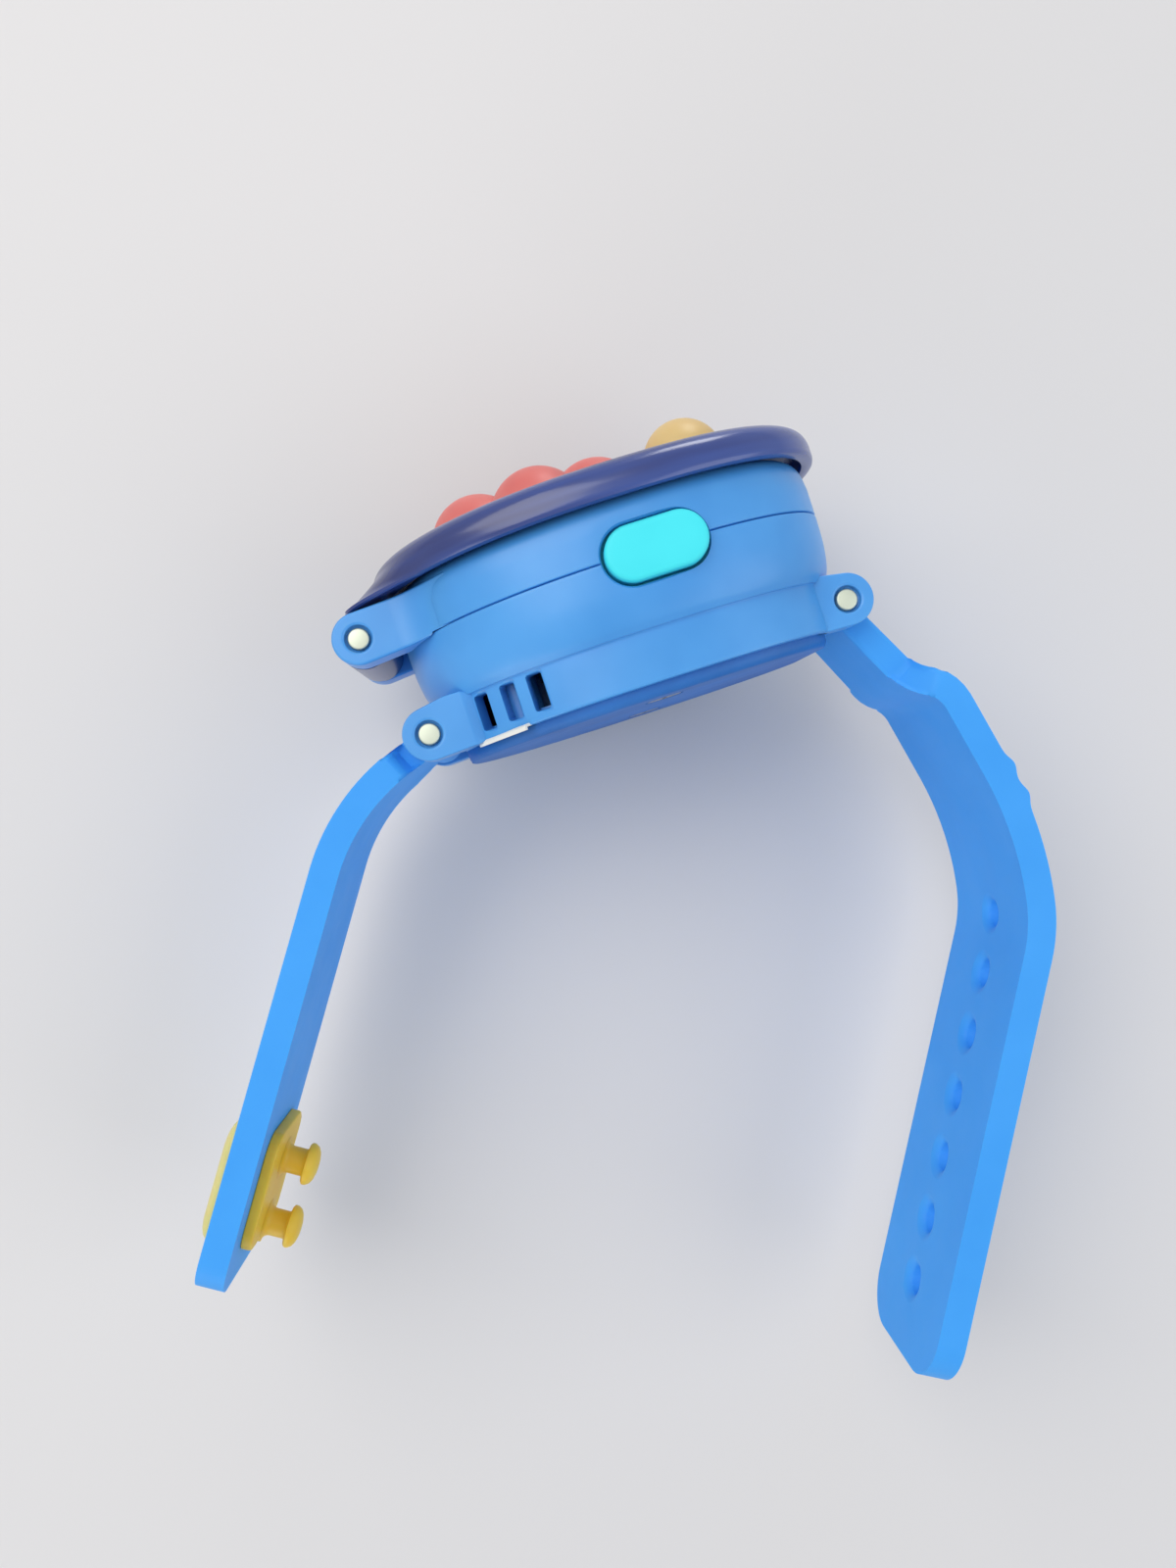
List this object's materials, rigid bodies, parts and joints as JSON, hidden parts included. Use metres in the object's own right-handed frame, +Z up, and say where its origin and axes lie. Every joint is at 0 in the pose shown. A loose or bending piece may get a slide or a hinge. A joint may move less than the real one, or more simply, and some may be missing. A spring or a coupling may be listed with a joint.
{
  "type": "toy wrist watch",
  "caption": "Toy wrist watch with a flip-up flower lid, a side button and a blue two-part strap with a stud clasp, lying on its side",
  "frame": {"origin": "middle of the bounding box in X and Y, at its lowest level in Z", "axes": "+X from the twelve o'clock end to the six o'clock end of the watch, +Y from its back out through the lid, +Z up through the side button; the watch lies on its nine o'clock side"},
  "size_m": [0.1042, 0.1136, 0.0464],
  "materials": {
    "case_shells": "satin, smooth",
    "back_cover": "fine even grain",
    "steel": "zinc plated",
    "lid": "glossy",
    "petals": "satin",
    "bloom": "satin",
    "pins": "drawn, cut ends",
    "button": "matte",
    "switch": "matte",
    "plunger": "matte",
    "straps": "satin",
    "clasp_cap": "satin",
    "clasp_studs": "satin",
    "window": "clear",
    "dial_ring": "matte",
    "display": "grey green",
    "connectors": "soft strip",
    "board": "solder mask",
    "chip": "cast resin",
    "buzzer": "matte",
    "cells": "nickel plated",
    "contacts": "stamped sheet",
    "tab": "matte film"
  },
  "bodies": {
    "case": {"upper_case": "case_shells", "lower_case": "case_shells", "back_cover": "back_cover", "cover_screws": "steel", "case_screws": "steel", "lid_hinge_pin": "pins", "strap_pin_12": "pins", "strap_pin_6": "pins", "switch_body": "switch", "display_window": "window", "dial_ring": "dial_ring", "lcd_panel": "display", "board_connectors": "connectors", "circuit_board": "board", "chip_blob": "chip", "buzzer": "buzzer", "battery_cells": "cells", "contact_bridge": "contacts", "contact_plus": "contacts", "contact_minus": "contacts", "pull_tab": "tab"},
    "lid": {"lid_shell": "lid", "lid_petals": "petals", "lid_bloom": "bloom"},
    "strap_12": {"strap_short": "straps", "clasp_cap": "clasp_cap", "clasp_studs": "clasp_studs"},
    "strap_6": {"strap_long": "straps"},
    "button": {"side_button": "button", "switch_plunger": "plunger"}
  },
  "joints": [
    {"name": "lid_hinge", "type": "hinge", "parent": "case", "child": "lid", "pos_m": [-0.01307, 0.0429, 0.0232], "axis": [0, 0, 1], "range_deg": [0, 110]},
    {"name": "strap_12_hinge", "type": "hinge", "parent": "case", "child": "strap_12", "pos_m": [-0.00897, 0.0307, 0.0232], "axis": [0, 0, 1], "range_deg": [-25, 20]},
    {"name": "strap_6_hinge", "type": "hinge", "parent": "case", "child": "strap_6", "pos_m": [0.03903, 0.0307, 0.0232], "axis": [0, 0, 1], "range_deg": [-12, 35]},
    {"name": "button_press", "type": "slide", "parent": "case", "child": "button", "axis": [0, 0, -1], "range_m": [0, 0.0008], "stiffness_N_per_m": 500, "springref_m": -0.0004}
  ]
}
